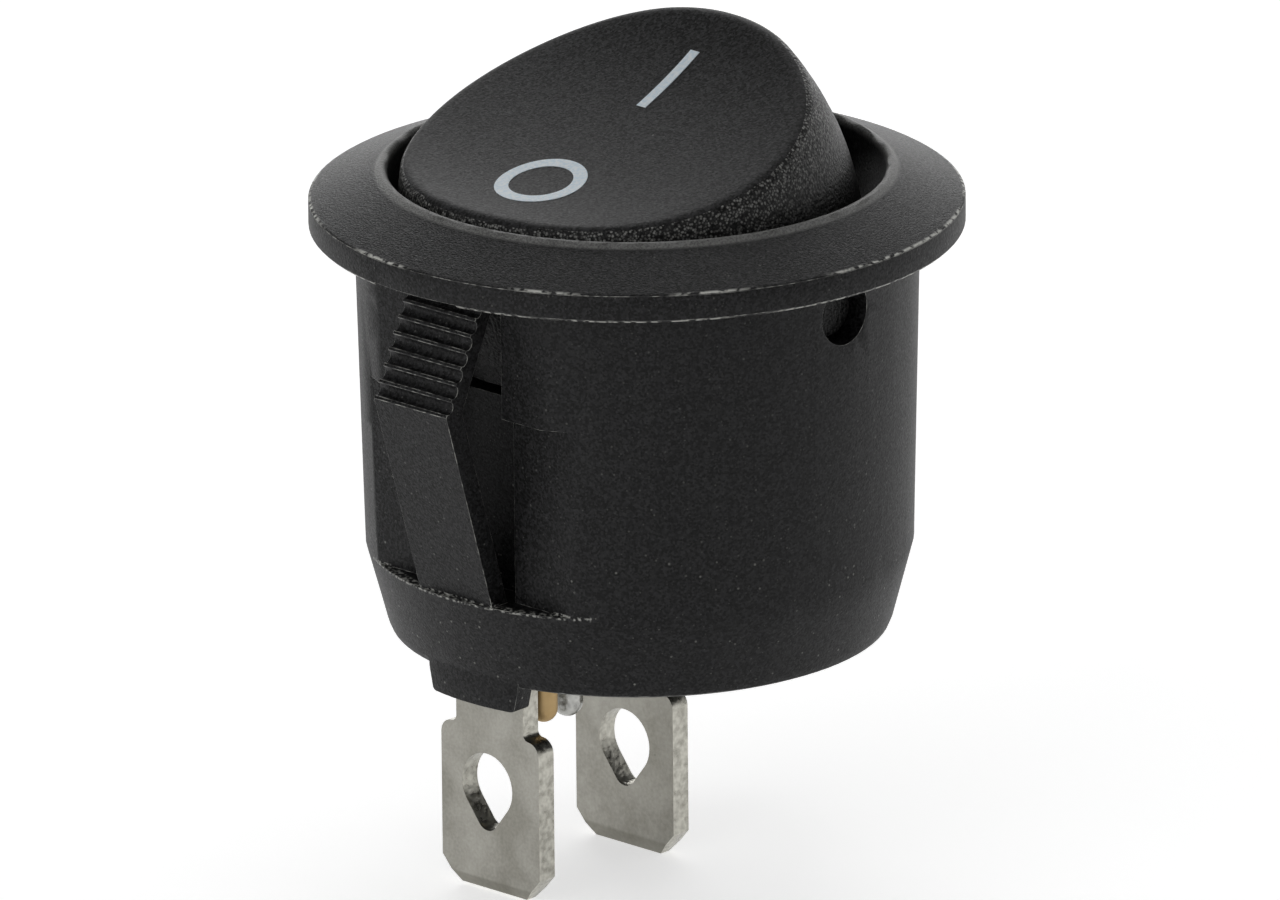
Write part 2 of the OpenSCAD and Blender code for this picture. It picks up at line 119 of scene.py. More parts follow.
def apply_modifiers(piece):
    """Applies an object's modifiers in their order."""
    only(piece)
    for modifier in list(piece.modifiers):
        bpy.ops.object.modifier_apply(modifier=modifier.name)


def count(piece):
    """Prints how large a piece's mesh is."""
    mesh = piece.data
    print(piece.name, "has", len(mesh.vertices), "vertices and", len(mesh.polygons), "faces")


# %% [markdown]
# ## Helpers for materials
#
# Hex colours are sRGB, as a colour picker shows them. Blender's sockets want linear values, so
# one function turns them. Another adds a node, sets its values and links its inputs.

# %% Colours and nodes
def colour(hex_code):
    """Turns an sRGB hex colour into the linear RGBA that Blender's sockets take."""
    channels = [int(hex_code[i:i + 2], 16) / 255 for i in (1, 3, 5)]
    linear = [c / 12.92 if c <= 0.04045 else ((c + 0.055) / 1.055) ** 2.4 for c in channels]
    return (*linear, 1)


def add(material, kind, inputs=None, **settings):
    """Adds one node, sets its properties, and fills its inputs with values or links."""
    tree = material.node_tree
    node = tree.nodes.new(kind)
    for name, value in settings.items():
        setattr(node, name, value)
    for name, value in (inputs or {}).items():
        if isinstance(value, bpy.types.NodeSocket):
            tree.links.new(value, node.inputs[name])
        else:
            node.inputs[name].default_value = value
    return node


def new_material(name):
    """Makes a material and hands back it, its principled shader and the object coordinates."""
    material = bpy.data.materials.new(name)
    material.use_nodes = True
    shader = material.node_tree.nodes["Principled BSDF"]
    place = add(material, "ShaderNodeTexCoord").outputs["Object"]
    return material, shader, place


def link(material, source, shader, socket):
    """Links a node's output to a socket of the shader."""
    material.node_tree.links.new(source, shader.inputs[socket])


def steps(material, factor, stops):
    """Adds a colour ramp through (position, hex colour) stops and hands back its colour."""
    ramp = add(material, "ShaderNodeValToRGB", {"Fac": factor})
    while len(ramp.color_ramp.elements) < len(stops):
        ramp.color_ramp.elements.new(0.5)
    for element, (position, hex_code) in zip(ramp.color_ramp.elements, stops):
        element.position = position
        element.color = colour(hex_code)
    return ramp.outputs["Color"]


def between(material, value, low, high, to_low=0.0, to_high=1.0):
    """Maps a value from one range to another, and holds it at the ends."""
    node = add(material, "ShaderNodeMapRange", {
        "Value": value, "From Min": low, "From Max": high, "To Min": to_low, "To Max": to_high})
    return node.outputs["Result"]


# %% [markdown]
# ## The grain of moulded plastic
#
# A moulding copies the steel that it was pressed against. Spark erosion leaves that steel full of
# tiny pits, so the plastic comes out with a fine grain. Noise with a real grain width makes it,
# and its height goes to a bump. The cells of a Voronoi pattern, each with a tone of its own, give
# the single grains. A second such pattern keeps a few cells as specks: glass fibres and dust that
# show pale on the black.

# %% Grain and specks
def grain_bump(material, place, size, height, strength):
    """A bump of fine grain: size is the grain's width, height its depth, both in metres."""
    noise = add(material, "ShaderNodeTexNoise", {
        "Vector": place, "Scale": 1 / size, "Detail": 1.5, "Roughness": 0.5})
    bump = add(material, "ShaderNodeBump", {
        "Height": noise.outputs["Fac"], "Distance": height, "Strength": strength})
    return noise.outputs["Fac"], bump.outputs["Normal"]


def mottle(material, place, size, dark, pale):
    """Colours each grain of a given width at random between a dark and a pale tone."""
    cells = add(material, "ShaderNodeTexVoronoi", {"Vector": place, "Scale": 1 / size})
    tone = add(material, "ShaderNodeSeparateColor", {"Color": cells.outputs["Color"]})
    return steps(material, tone.outputs["Red"], [(0.2, dark), (1.0, pale)])


def maths(material, operation, first, second=0.0):
    """Adds one sum, product or comparison of two values."""
    node = add(material, "ShaderNodeMath", {0: first, 1: second}, operation=operation)
    return node.outputs["Value"]


def flecks(material, place, spacing, size, share):
    """A mask of small specks: one in each cell of a pattern, of which only a share is kept."""
    cells = add(material, "ShaderNodeTexVoronoi", {"Vector": place, "Scale": 1 / spacing})
    spot = between(material, cells.outputs["Distance"], size / spacing * 0.6, size / spacing * 0.3)
    kept = between(material, cells.outputs["Color"], 1 - share, 1 - share * 0.3)
    return maths(material, "MULTIPLY", spot, kept)


def over(material, mask, below, above):
    """Lays one colour over another where the mask is 1."""
    # A mix node has a set of sockets for each kind of data; 6, 7 and 2 are those for colours.
    mixed = add(material, "ShaderNodeMix", {"Factor": mask, 6: below, 7: above}, data_type="RGBA")
    return mixed.outputs[2]


def from_axis(material, place):
    """Hands back X, Y and Z, the flat vector (X, Y, 0) and its length, as node outputs."""
    x, y, z = add(material, "ShaderNodeSeparateXYZ", {"Vector": place}).outputs
    flat = add(material, "ShaderNodeCombineXYZ", {"X": x, "Y": y}).outputs["Vector"]
    radius = add(material, "ShaderNodeVectorMath", {0: flat}, operation="LENGTH").outputs["Value"]
    return x, y, z, flat, radius


def near(material, value, centre, far_away, close_by):
    """A mask that is 1 close to a value and falls to 0 farther away from it."""
    gap = maths(material, "ABSOLUTE", maths(material, "SUBTRACT", value, centre))
    return between(material, gap, far_away, close_by)


# %% [markdown]
# ## Painted glints on the rim and the ledges
#
# The mould's halves meet along the flange's rim. A thin broken line of flash stands there, and its
# edges catch the light as bright dots. The outer edge of the ledge under each snap arm has such
# dots too. The dots are painted highlights. They could be chains of tiny meshes, but they are far
# thinner than a hair, so they are a pale colour on masks in the material: a narrow band at each
# edge, cut into dashes or spots by noise.

# %% The masks of the painted glints
rim_radius = cad_high.y
rim_edges = ((0.03 * mm, 0.0), (1.0 * mm, 7.0 * mm))    # height, and a shift of its noise
rim_dash = 3 * mm
rim_bead = 0.25 * mm
ledge_height = -11.5 * mm
ledge_radius = 9.33 * mm
ledge_from = 7.9 * mm       # the ledges begin this far from the middle
ledge_spot = 0.16 * mm


def rim_glints(material, place):
    """A mask that is 1 on the dashes of painted glints along the rim's two edges."""
    x, y, z, flat, radius = from_axis(material, place)
    near_rim = between(material, radius, rim_radius - 0.2 * mm, rim_radius - 0.1 * mm)
    lines = 0.0
    for height, shift in rim_edges:
        line = near(material, z, height, 0.055 * mm, 0.02 * mm)
        moved = add(material, "ShaderNodeVectorMath", {0: flat, 1: (shift, 0, 0)}, operation="ADD")
        for size, detail, low, high in ((rim_dash, 0, 0.4, 0.52), (rim_bead, 1, 0.4, 0.55)):
            noise = add(material, "ShaderNodeTexNoise", {
                "Vector": moved.outputs["Vector"], "Scale": 1 / size, "Detail": detail})
            dashes = between(material, noise.outputs["Fac"], low, high)
            line = maths(material, "MULTIPLY", line, dashes)
        lines = maths(material, "MAXIMUM", lines, line)
    return maths(material, "MULTIPLY", lines, near_rim)


def ledge_glints(material, place):
    """A mask of the spots of painted glints along the outer edge of the ledges below the snap
    arms.
    """
    x, y, z, flat, radius = from_axis(material, place)
    spots = add(material, "ShaderNodeTexNoise", {
        "Vector": place, "Scale": 1 / ledge_spot, "Detail": 1})
    edge = between(material, spots.outputs["Fac"], 0.48, 0.62, 0.0, 0.7)
    for mask in (
        near(material, z, ledge_height, 0.1 * mm, 0.05 * mm),
        between(material, radius, ledge_radius - 0.08 * mm, ledge_radius),
        between(material, maths(material, "ABSOLUTE", x), ledge_from, ledge_from + 0.2 * mm),
    ):
        edge = maths(material, "MULTIPLY", edge, mask)
    return edge


# %% [markdown]
# ## The lip's painted sheen
#
# The lip round the opening stands proud, and its crown catches a sheen. The sheen is painted as a
# paler colour, on another mask by place: a ring just outside the opening, on the lip's crown.

# %% The mask of the lip
opening_radius = 8.73 * mm
lip_height = 2.12 * mm
lip_width = 0.42 * mm


def lip_sheen(material, place, grain):
    """A mask of the painted sheen, largest on the lip's crown, broken up by the grain."""
    x, y, z, flat, radius = from_axis(material, place)
    middle = opening_radius + lip_width / 2
    ring = near(material, radius, middle, lip_width * 0.75, lip_width * 0.45)
    crown = between(material, z, lip_height - 0.3 * mm, lip_height - 0.15 * mm)
    sheen_grain = between(material, grain, 0.35, 0.6, 0.45, 1.0)
    return maths(material, "MULTIPLY", maths(material, "MULTIPLY", ring, crown), sheen_grain)


# %% [markdown]
# ## Black moulded nylon
#
# The housing is glass-filled nylon from a spark-eroded tool, satin and never glossy. Its real
# grain is a few hundredths of a millimetre wide, too fine to show, so it is drawn 0.08 mm wide.
# Large specks are few near the flange and more frequent low on the body. The edges of the
# moulding have a material of their own, whose pale tones are painted highlights.

# %% Housing material
def housing_nylon():
    """The housing's plastic: grain, specks, painted sheen on the lip and painted glints on the
    flash.
    """
    material, shader, place = new_material("black_spark_textured_nylon")
    grain, normal = grain_bump(material, place, 0.08 * mm, 0.024 * mm, 1.0)
    body = mottle(material, place, 0.08 * mm, "#010101", "#2f2f30")
    height = add(material, "ShaderNodeSeparateXYZ", {"Vector": place}).outputs["Z"]
    low = between(material, height, -5 * mm, -16 * mm, 0.2, 1.0)
    large = maths(material, "MULTIPLY", flecks(material, place, 0.33 * mm, 0.09 * mm, 0.55), low)
    small = flecks(material, place, 0.18 * mm, 0.06 * mm, 0.45)
    body = over(material, maths(material, "MULTIPLY", small, 0.45), body, colour("#747471"))
    body = over(material, large, body, colour("#a2a29d"))
    # painted sheen on the lip's crown
    body = over(material, lip_sheen(material, place, grain), body, colour("#7c7c7a"))
    # painted glints: bright dots on the edges of the rim and the ledges
    flash_glints = maths(material, "MAXIMUM", rim_glints(material, place), ledge_glints(material, place))
    body = over(material, flash_glints, body, colour("#dcdcd6"))
    link(material, body, shader, "Base Color")
    link(material, between(material, grain, 0.3, 0.7, 0.42, 0.56), shader, "Roughness")
    link(material, normal, shader, "Normal")
    shader.inputs["Specular IOR Level"].default_value = 0.22
    return material


def edge_highlight_nylon():
    """The edges of the moulding, with pale tones in places that are painted highlights: the light
    lines along the edges.
    """
    material, shader, place = new_material("nylon_edge_painted_highlight")
    noise = add(material, "ShaderNodeTexNoise", {
        "Vector": place, "Scale": 1 / (0.3 * mm), "Detail": 2})
    # painted highlight: the pale tones stand for light along the edges
    tones = [(0.34, "#242424"), (0.48, "#5a5a58"), (0.62, "#b8b8b2")]
    link(material, steps(material, noise.outputs["Fac"], tones), shader, "Base Color")
    shader.inputs["Roughness"].default_value = 0.4
    return material


nylon = housing_nylon()
edge_highlight = edge_highlight_nylon()
print("made", nylon.name, "and", edge_highlight.name)

# %% [markdown]
# ## The rocker's two finishes
#
# The rocker is the same black. Its top is fine and nearly smooth to the finger. Its side swings
# in and out of the housing and has a coarse spark texture. Its sparkle is painted: pale specks in
# the colour stand for glints on the grain tips. These painted glints are brightest under the rim
# and fade downwards. Lower down the side gets painted shade where it sinks into the housing, both
# by its height over the pivot as the rocker would stand level.

# %% Rocker materials
# painted glints and painted shade: the heights over the pivot where each fades
painted_glint_fade = (2.4 * mm, 5.0 * mm)    # the tips are faint below the first height, full at the second
painted_shade_fade = (0.3 * mm, 3.0 * mm)    # the side is plain black below the first height


def rocker_top_nylon():
    """The fine matte plastic of the rocker's top."""
    material, shader, place = new_material("black_matte_nylon")
    grain, normal = grain_bump(material, place, 0.1 * mm, 0.018 * mm, 0.8)
    body = mottle(material, place, 0.09 * mm, "#040404", "#353536")
    specks = flecks(material, place, 0.8 * mm, 0.09 * mm, 0.12)
    link(material, over(material, specks, body, colour("#8c8c8a")), shader, "Base Color")
    link(material, between(material, grain, 0.3, 0.7, 0.52, 0.64), shader, "Roughness")
    link(material, normal, shader, "Normal")
    shader.inputs["Specular IOR Level"].default_value = 0.26
    return material


def rocker_side_nylon():
    """The coarse plastic of the rocker's side, with painted glints on its grain tips and painted
    shade low down.
    """
    material, shader, place = new_material("black_coarse_spark_nylon")
    leaning_up = lean_turn.to_3x3() @ Vector((0, 0, 1))
    from_pivot = add(material, "ShaderNodeVectorMath", {0: place, 1: pivot}, operation="SUBTRACT")
    height = add(material, "ShaderNodeVectorMath", {
        0: from_pivot.outputs["Vector"], 1: leaning_up}, operation="DOT_PRODUCT").outputs["Value"]
    glint_fade = between(material, height, *painted_glint_fade, 0.1, 1.0)
    # painted shade: the side turns plain black lower down, where it sinks into the housing
    painted_shade = between(material, height, *painted_shade_fade, 1.0, 0.0)
    grain, normal = grain_bump(material, place, 0.12 * mm, 0.06 * mm, 1.0)
    body = mottle(material, place, 0.1 * mm, "#030303", "#2c2c2c")
    body = over(material, painted_shade, body, colour("#040404"))
    # painted glints: pale specks stand for light on the grain tips, strongest under the rim
    painted_glints = flecks(material, place, 0.1 * mm, 0.095 * mm, 0.9)
    painted_glints = maths(material, "MULTIPLY", painted_glints, glint_fade)
    link(material, over(material, painted_glints, body, colour("#989895")), shader, "Base Color")
    link(material, between(material, grain, 0.3, 0.7, 0.35, 0.5), shader, "Roughness")
    link(material, normal, shader, "Normal")
    shader.inputs["Specular IOR Level"].default_value = 0.26
    return material


rocker_plastic = rocker_top_nylon()
coarse_plastic = rocker_side_nylon()
print("made", rocker_plastic.name, "and", coarse_plastic.name)

# %% [markdown]
# ## Metals
#
# The blades are stamped from brass strip and plated. The plating is satin, with faint blotches.
# The contacts are silver alloy, one rivet is bare brass, the lever is copper and the spring is
# drawn steel wire. A metal's colour is its reflection's colour, so metallic is 1.

# %% Metal materials
def metal(name, low, high, grain_size, roughness, grain_height):
    """A bare metal whose tone and roughness vary a little with its grain."""
    material, shader, place = new_material(name)
    grain, normal = grain_bump(material, place, grain_size, grain_height, 0.5)
    link(material, steps(material, grain, [(0.3, low), (0.7, high)]), shader, "Base Color")
    shine = between(material, grain, 0.3, 0.7, roughness - 0.05, roughness + 0.06)
    link(material, shine, shader, "Roughness")
    link(material, normal, shader, "Normal")
    shader.inputs["Metallic"].default_value = 1
    return material


def plated_strip():
    """Tin plating: satin, with fine blotches, a few dark pits, and painted shade on the tip's
    chamfer.
    """
    material, shader, place = new_material("tin_plated_brass")
    grain, normal = grain_bump(material, place, 0.12 * mm, 0.008 * mm, 0.5)
    cloud = add(material, "ShaderNodeTexNoise", {
        "Vector": place, "Scale": 1 / (1.6 * mm), "Detail": 3}).outputs["Fac"]
    fine = steps(material, grain, [(0.3, "#8c8a82"), (0.7, "#a3a198")])
    broad = steps(material, cloud, [(0.35, "#7f7d75"), (0.65, "#b3b1aa")])
    body = over(material, 0.5, fine, broad)
    pits = flecks(material, place, 0.7 * mm, 0.08 * mm, 0.3)
    body = over(material, maths(material, "MULTIPLY", pits, 0.6), body, colour("#4e4c44"))
    height = add(material, "ShaderNodeSeparateXYZ", {"Vector": place}).outputs["Z"]
    # painted shade: the tip's chamfer, the lowest half millimetre, is darker
    tip_shade = between(material, height, cad_low.z + 0.55 * mm, cad_low.z + 0.45 * mm)
    body = over(material, maths(material, "MULTIPLY", tip_shade, 0.45), body, colour("#6f6d63"))
    link(material, body, shader, "Base Color")
    link(material, between(material, cloud, 0.35, 0.65, 0.3, 0.42), shader, "Roughness")
    link(material, normal, shader, "Normal")
    shader.inputs["Metallic"].default_value = 1
    return material


plating = plated_strip()
sheared = metal("sheared_plated_edge", "#98968d", "#c6c4ba", 0.22 * mm, 0.3, 0.06 * mm)
silver = metal("cold_headed_silver", "#8f8f8c", "#c4c4c0", 0.35 * mm, 0.3, 0.12 * mm)
raw_brass = metal("drawn_brass", "#b3986c", "#c6ab7e", 0.4 * mm, 0.5, 0.01 * mm)
copper = metal("stamped_copper", "#a86a48", "#bd7c58", 0.6 * mm, 0.32, 0.008 * mm)
spring_steel = metal("drawn_spring_wire", "#8e8f90", "#a9aaab", 0.3 * mm, 0.28, 0.004 * mm)
print("made", [m.name for m in (plating, sheared, silver, raw_brass, copper, spring_steel)])

# %% [markdown]
# ## Natural acetal
#
# The plunger is undyed acetal, a milky plastic that lets a little light in, so it gets some
# subsurface scattering. It is hidden inside the switch.

# %% Plunger material
def natural_acetal():
    """The plunger's plastic."""
    material, shader, place = new_material("natural_acetal")
    grain, normal = grain_bump(material, place, 0.3 * mm, 0.004 * mm, 0.3)
    tones = [(0.3, "#d9d5c8"), (0.7, "#e2dfd3")]
    link(material, steps(material, grain, tones), shader, "Base Color")
    link(material, normal, shader, "Normal")
    shader.inputs["Roughness"].default_value = 0.4
    shader.inputs["Subsurface Weight"].default_value = 0.1
    shader.inputs["Subsurface Radius"].default_value = (0.001, 0.001, 0.0008)
    return material


acetal = natural_acetal()
print("made", acetal.name)

# %% [markdown]
# ## Printed marks
#
# The marks are pad-printed in a pale blue-grey ink. The ink is a film, a fiftieth of a
# millimetre thick, that lies on the hollow top.

# %% Ink material
def pad_ink():
    """The ink of the marks, uneven by a few shades."""
    material, shader, place = new_material("pad_printed_ink")
    grain, normal = grain_bump(material, place, 0.12 * mm, 0.004 * mm, 0.4)
    tones = [(0.35, "#deeffa"), (0.65, "#f3fbff")]
    link(material, steps(material, grain, tones), shader, "Base Color")
    link(material, normal, shader, "Normal")
    shader.inputs["Roughness"].default_value = 0.55
    return material


ink = pad_ink()
print("made", ink.name)

# %% [markdown]
# ## Dressing the CAD model
#
# Each piece of the CAD model is a node of its own and takes one material. Where a finished copy
# stands in for a node later on, the copy takes over the node's material.

# %% Give the CAD nodes their materials
finishes = {
    "housing": nylon,
    "rocker": rocker_plastic,
    "plunger": acetal,
    "plunger_spring": spring_steel,
    "contact_lever": copper,
    "lever_contact": silver,
    "common_terminal": plating,
    "load_terminal": plating,
    "load_contact": silver,
    "load_rivet": raw_brass,
}


def wear(piece, material):
    """Gives a piece one material all over."""
    piece.data.materials.clear()
    piece.data.materials.append(material)


for node_name, material in finishes.items():
    wear(frame["nodes"][node_name], material)
print("dressed", len(finishes), "nodes")

# %% [markdown]
# ## Soft edges
#
# A moulding has no knife edges: each edge is a small round that catches a line of light. The CAD
# surfaces are exact but their edges are sharp. A copy of the mesh is welded, its flat parts are
# joined into single faces, and a bevel then rounds every edge that turns sharply. Normals weighted
# by the area of the faces keep the flat parts free of streaks.

# %% A copy with rounded edges
def welded_copy(node_name, name):
    """Makes a copy of a CAD node whose flat parts are single faces."""
    only(frame["nodes"][node_name])
    bpy.ops.object.duplicate()
    piece = bpy.context.active_object
    bpy.ops.object.parent_clear(type="CLEAR_KEEP_TRANSFORM")
    piece.name = piece.data.name = name
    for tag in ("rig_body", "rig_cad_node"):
        del piece[tag]
    bpy.ops.object.mode_set(mode="EDIT")
    bpy.ops.mesh.select_all(action="SELECT")
    bpy.ops.mesh.remove_doubles(threshold=0.002 * mm)
    bpy.ops.mesh.dissolve_limited(angle_limit=math.radians(0.5))
    bpy.ops.object.mode_set(mode="OBJECT")
    return piece


def soften(piece, width, angle, segments=2, edge_material=None):
    """Rounds every edge of a piece that turns by more than an angle in degrees."""
    bevel = piece.modifiers.new("soft edges", "BEVEL")
    bevel.width = width
    bevel.segments = segments
    bevel.limit_method = "ANGLE"
    bevel.angle_limit = math.radians(angle)
    bevel.use_clamp_overlap = True
    if edge_material:
        piece.data.materials.append(edge_material)
        bevel.material = len(piece.data.materials) - 1
    apply_modifiers(piece)
    bpy.ops.object.shade_smooth_by_angle(angle=math.radians(40))
    shading = piece.modifiers.new("even shading", "WEIGHTED_NORMAL")
    shading.keep_sharp = True
    shading.weight = 100
    apply_modifiers(piece)
    count(piece)


def stand_in(piece, body, node_name):
    """Lets a piece stand for a CAD node and move with its body, and hides the node."""
    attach(piece, body)
    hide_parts(node_name)


def wear_where(piece, material, test):
    """Gives the faces that pass a test a further material."""
    piece.data.materials.append(material)
    extra = len(piece.data.materials) - 1
    for face in piece.data.polygons:
        if test(face):
            face.material_index = extra


# %% [markdown]
# ## The rocker's moulding
#
# The edge round the rocker's hollow top is a wider round, about 0.4 mm. A bevel would stumble
# over the many narrow strips of the CAD surface there. So a smooth skin is made instead: a grid
# whose rows run from the middle of the top, over the round and down the side. It is shaped by the
# same two curves as the CAD model, a hair under the top and a hair outside the side, and a
# boolean keeps what is inside both. That leaves the CAD side, with a clean top.

# %% The curves of the rocker
top_middle = 5 * mm - 0.012 * mm        # the hollow's middle over the pivot, a hair low
top_radius = 32 * mm                    # radius of the hollow in its middle
end_curl = 0.62 * mm                    # how much more its ends curl up
widest = opening_radius - 0.62 * mm     # radius of the bulging side where it is widest
widest_height = 1 * mm                  # and that place's height over the pivot
side_radius = 11.3 * mm                 # radius of the bulge
end_reach = math.hypot(opening_radius, lip_height - pivot.z) - 0.16 * mm    # clears the lip
side_room = 0.03 * mm                   # how far outside the CAD side the skin runs
edge_round = 0.42 * mm                  # size of the round at the rim
step_height = 2.6 * mm                  # below this the skin steps out, clear of the pins
outside = 13 * mm
lowest = -12 * mm
top_steps, round_steps, side_steps = 12, 6, 8


def top_at(x):
    """Height of the hollow top over the pivot."""
    return top_middle + x ** 2 / (2 * top_radius) + end_curl * (x / widest) ** 4


def side_at(height):
    """Radius of the bulging side at a height over the pivot."""
    bulge = widest - (height - widest_height) ** 2 / (2 * side_radius)
    return min(bulge, math.sqrt(end_reach ** 2 - height ** 2))


def skin_rows(turn):
    """The skin's section in one direction: (radius, height) from the top's middle to the base."""
    cosine = math.cos(turn)
    rim = widest
    for _ in range(6):      # the rim's radius and height depend on each other
        rim = side_at(top_at(rim * cosine))
    rim_height = top_at(rim * cosine)
    inner = rim - edge_round
    points = []
    for i in range(top_steps + 1):
        radius = inner * i / top_steps
        points.append((radius, top_at(radius * cosine)))
    start, corner = points[-1], (rim, rim_height)
    end_height = rim_height - edge_round
    end = (side_at(end_height) + side_room, end_height)
    for i in range(1, round_steps + 1):
        t = i / round_steps
        weights = ((1 - t) ** 2, 2 * t * (1 - t), t ** 2)
        points.append(tuple(
            sum(w * q[axis] for w, q in zip(weights, (start, corner, end))) for axis in (0, 1)))
    for i in range(1, side_steps + 1):
        height = end_height + (step_height - end_height) * i / side_steps
        points.append((side_at(height) + side_room, height))
    return points + [(outside, step_height), (outside, lowest), (0, lowest)]


# %% [markdown]
# ## Cutting the rocker with its skin
#
# The grid is rolled up into the closed skin, one column of points for each direction. The rocker
# keeps what lies inside the skin. Its top then wears the fine finish and its side the coarse one.

# %% Make the skin and cut the rocker with it
turns = 160
side_begins = 0.84      # a face belongs to the side when its level normal points up less than this
sections = [skin_rows(2 * math.pi * i / turns) for i in range(turns + 1)]
last_row = len(sections[0]) - 1
bpy.ops.object.select_all(action="DESELECT")
bpy.ops.mesh.primitive_grid_add(x_subdivisions=turns, y_subdivisions=last_row, size=1)
skin = bpy.context.active_object
skin.name = "rocker_skin"
for vertex in skin.data.vertices:
    step = round((vertex.co.x + 0.5) * turns)
    radius, height = sections[step][round((vertex.co.y + 0.5) * last_row)]
    turn = 2 * math.pi * step / turns
    vertex.co = (radius * math.cos(turn), radius * math.sin(turn), height)
skin.matrix_world = lean_turn
apply_place(skin)
bpy.ops.object.mode_set(mode="EDIT")
bpy.ops.mesh.select_all(action="SELECT")
bpy.ops.mesh.remove_doubles(threshold=0.002 * mm)
bpy.ops.mesh.normals_make_consistent(inside=False)
bpy.ops.object.mode_set(mode="OBJECT")

rocker = welded_copy("rocker", "rocker_moulding")
cut = rocker.modifiers.new("keep what is under the skin", "BOOLEAN")
cut.operation = "INTERSECT"
cut.solver = "EXACT"
cut.object = skin
apply_modifiers(rocker)
bpy.data.objects.remove(skin)
only(rocker)
bpy.ops.object.mode_set(mode="EDIT")
bpy.ops.mesh.select_all(action="SELECT")
bpy.ops.mesh.remove_doubles(threshold=0.003 * mm)
bpy.ops.object.mode_set(mode="OBJECT")
bpy.ops.object.shade_smooth_by_angle(angle=math.radians(30))
to_level = lean_turn.inverted().to_3x3()
wear_where(rocker, coarse_plastic, lambda face: (to_level @ face.normal).z < side_begins)
stand_in(rocker, "rocker", "rocker")
count(rocker)

# %% [markdown]
# ## The housing's moulding
#
# Every sharp edge of the housing gets a small round in the edge material, whose pale tones are
# painted highlights. It draws the fine light lines along the snap arms and the ribs.

# %% Round the housing
housing = welded_copy("housing", "housing_moulding")
soften(housing, 0.07 * mm, 40, edge_material=edge_highlight)
stand_in(housing, "base", "housing")

# %% [markdown]
# ## The blades
#
# A press stamps the blades out of plated strip. The flat faces keep the strip's satin plating,
# while the cut edges are rougher and brighter, so they get a metal of their own.

# %% Round the blades
for node_name, name in (("load_terminal", "load_blade"), ("common_terminal", "common_blade")):
    blade = welded_copy(node_name, name)
    soften(blade, 0.08 * mm, 30, segments=3)
    wear_where(blade, sheared, lambda face: abs(face.normal.x) < 0.5)
    stand_in(blade, "base", node_name)

# %% [markdown]
# ## The printed marks
#
# The O is a flat ring and the I a flat bar. Each is cut as a flat sheet over the level rocker,
# wrapped straight down onto its hollow top, and given the ink's thickness.

# %% How a mark is printed
ink_film = 0.02 * mm
mark_reach = 3.45 * mm
over_the_rocker = cad_high.z - pivot.z + 2 * mm


def print_mark(piece, name):
    """Lays a flat mesh, drawn over the level rocker, onto the leaning one."""
    piece.name = piece.data.name = name
    apply_place(piece)
    piece.matrix_world = lean_turn
    wrap = piece.modifiers.new("lay on the rocker", "SHRINKWRAP")
    wrap.target = rocker
    wrap.wrap_method = "PROJECT"
    wrap.use_project_z = True
    wrap.use_negative_direction = True
    wrap.use_positive_direction = False
    film = piece.modifiers.new("ink film", "SOLIDIFY")
    film.thickness = 2 * ink_film
    film.offset = 0
    apply_modifiers(piece)
    apply_place(piece)
    wear(piece, ink)
    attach(piece, "rocker")
    count(piece)


# %% [markdown]
# ### The O
#
# A filled circle is inset, and its middle is deleted, which leaves a flat ring.

# %% The O mark
ring_radius = 1.64 * mm
stroke = 0.5 * mm

bpy.ops.object.select_all(action="DESELECT")
bpy.ops.mesh.primitive_circle_add(
    vertices=96, radius=ring_radius, fill_type="NGON", location=(-mark_reach, 0, over_the_rocker))
ring = bpy.context.active_object
bpy.ops.object.mode_set(mode="EDIT")
bpy.ops.mesh.select_all(action="SELECT")
bpy.ops.mesh.inset(thickness=stroke)
bpy.ops.mesh.delete(type="FACE")
bpy.ops.object.mode_set(mode="OBJECT")
print_mark(ring, "off_mark")

# %% [markdown]
# ### The I
#
# A plain bar. Its grid has enough rows to follow the hollow top when it is laid down.

# %% The I mark
bar_length = 3.1 * mm
bar_width = 0.42 * mm

bpy.ops.object.select_all(action="DESELECT")
bpy.ops.mesh.primitive_grid_add(
    x_subdivisions=12, y_subdivisions=2, size=1, location=(mark_reach, 0, over_the_rocker))
bar = bpy.context.active_object
bar.scale = (bar_length, bar_width, 1)
print_mark(bar, "on_mark")

# %% [markdown]
# ## The floor
#
# The floor is plain and pale. It shines a little of its own for the camera and for reflections,
# so that it is white where no shadow lies, with no more light on the switch.

# %% Floor
bpy.ops.object.select_all(action="DESELECT")
bpy.ops.mesh.primitive_plane_add(size=1.6, location=(0, 0, cad_low.z))
floor = bpy.context.active_object
floor.name = "floor"


def seen(node_tree):
    """Adds a value that is 1 for the camera, for reflections and through glass."""
    rays = node_tree.nodes.new("ShaderNodeLightPath")
    total = rays.outputs["Is Camera Ray"]
    for name in ("Is Glossy Ray", "Is Transmission Ray"):
        largest = node_tree.nodes.new("ShaderNodeMath")
        largest.operation = "MAXIMUM"
        node_tree.links.new(total, largest.inputs[0])
        node_tree.links.new(rays.outputs[name], largest.inputs[1])
        total = largest.outputs["Value"]
    return total


floor_glow = 0.58


def pale_floor():
    """A matt white board that looks white without lighting the switch."""
    material, shader = new_material("pale_floor")[:2]
    shader.inputs["Base Color"].default_value = colour("#f4f4f4")
    shader.inputs["Roughness"].default_value = 0.9
    shader.inputs["Emission Color"].default_value = (1, 1, 1, 1)
    glow = maths(material, "MULTIPLY", seen(material.node_tree), floor_glow)
    link(material, glow, shader, "Emission Strength")
    return material


wear(floor, pale_floor())

